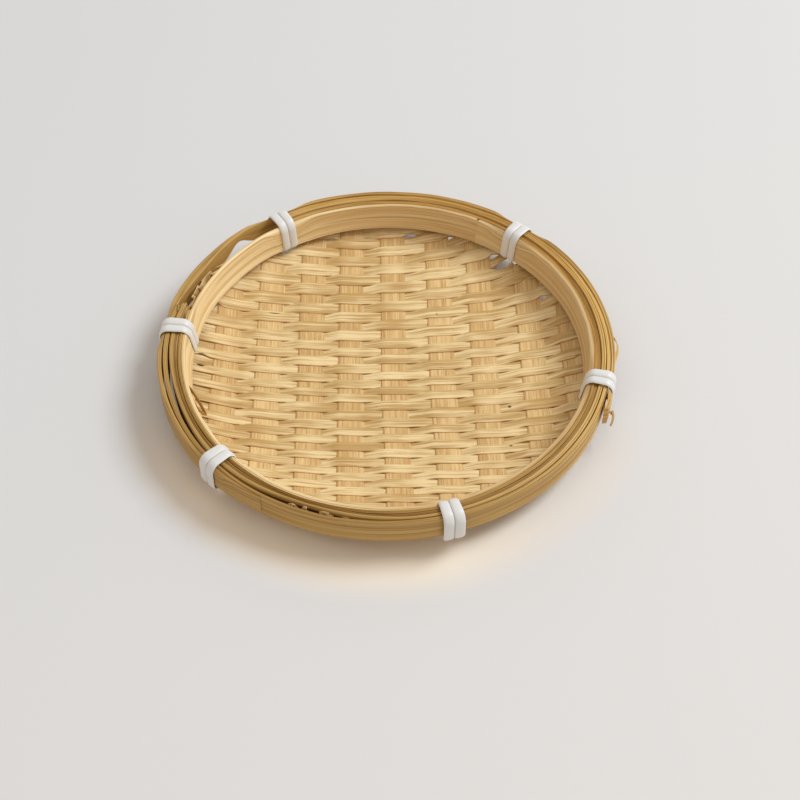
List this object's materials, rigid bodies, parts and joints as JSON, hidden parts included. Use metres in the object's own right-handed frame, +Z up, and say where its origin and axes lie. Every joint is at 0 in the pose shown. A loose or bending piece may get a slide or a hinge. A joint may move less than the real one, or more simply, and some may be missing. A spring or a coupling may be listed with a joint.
{
  "type": "woven bamboo tray basket",
  "caption": "Shallow round tray of split bamboo: wide warps and narrow wefts in plain weave, pinched in a rim of bent laths tied with flat plastic straps.",
  "frame": {"origin": "bottom centre of the tray, on the surface it stands on", "axes": "+Z up out of the tray, +Y along the wide warps, +X along the narrow wefts"},
  "size_m": [0.1307, 0.13, 0.0146],
  "materials": {
    "warp_bamboo": "bare split bamboo",
    "weft_bamboo": "bare split bamboo",
    "hoop_bamboo": "planed bamboo",
    "lath_bamboo": "split bamboo on edge",
    "tie_plastic": "smooth translucent white"
  },
  "bodies": {
    "root": {"warp_1": "warp_bamboo", "warp_2": "warp_bamboo", "warp_3": "warp_bamboo", "warp_4": "warp_bamboo", "warp_5": "warp_bamboo", "warp_6": "warp_bamboo", "warp_7": "warp_bamboo", "warp_8": "warp_bamboo", "warp_9": "warp_bamboo", "weft_01": "weft_bamboo", "weft_02": "weft_bamboo", "weft_03": "weft_bamboo", "weft_04": "weft_bamboo", "weft_05": "weft_bamboo", "weft_06": "weft_bamboo", "weft_07": "weft_bamboo", "weft_08": "weft_bamboo", "weft_09": "weft_bamboo", "weft_10": "weft_bamboo", "weft_11": "weft_bamboo", "weft_12": "weft_bamboo", "weft_13": "weft_bamboo", "weft_14": "weft_bamboo", "weft_15": "weft_bamboo", "weft_16": "weft_bamboo", "weft_17": "weft_bamboo", "weft_18": "weft_bamboo", "weft_19": "weft_bamboo", "weft_20": "weft_bamboo", "weft_21": "weft_bamboo", "weft_22": "weft_bamboo", "weft_23": "weft_bamboo", "weft_24": "weft_bamboo", "weft_25": "weft_bamboo", "weft_26": "weft_bamboo", "weft_27": "weft_bamboo", "weft_28": "weft_bamboo", "weft_29": "weft_bamboo", "weft_30": "weft_bamboo", "weft_31": "weft_bamboo", "weft_32": "weft_bamboo", "weft_33": "weft_bamboo", "weft_34": "weft_bamboo", "weft_35": "weft_bamboo", "weft_36": "weft_bamboo", "inner_hoop": "hoop_bamboo", "outer_lath": "lath_bamboo", "second_lath": "lath_bamboo", "third_lath": "lath_bamboo", "inner_cover_lath": "lath_bamboo", "outer_cover_lath": "lath_bamboo", "tie_back_right": "tie_plastic", "tie_back_left": "tie_plastic", "tie_left": "tie_plastic", "tie_front_left": "tie_plastic", "tie_front": "tie_plastic", "tie_right": "tie_plastic"}
  },
  "joints": []
}
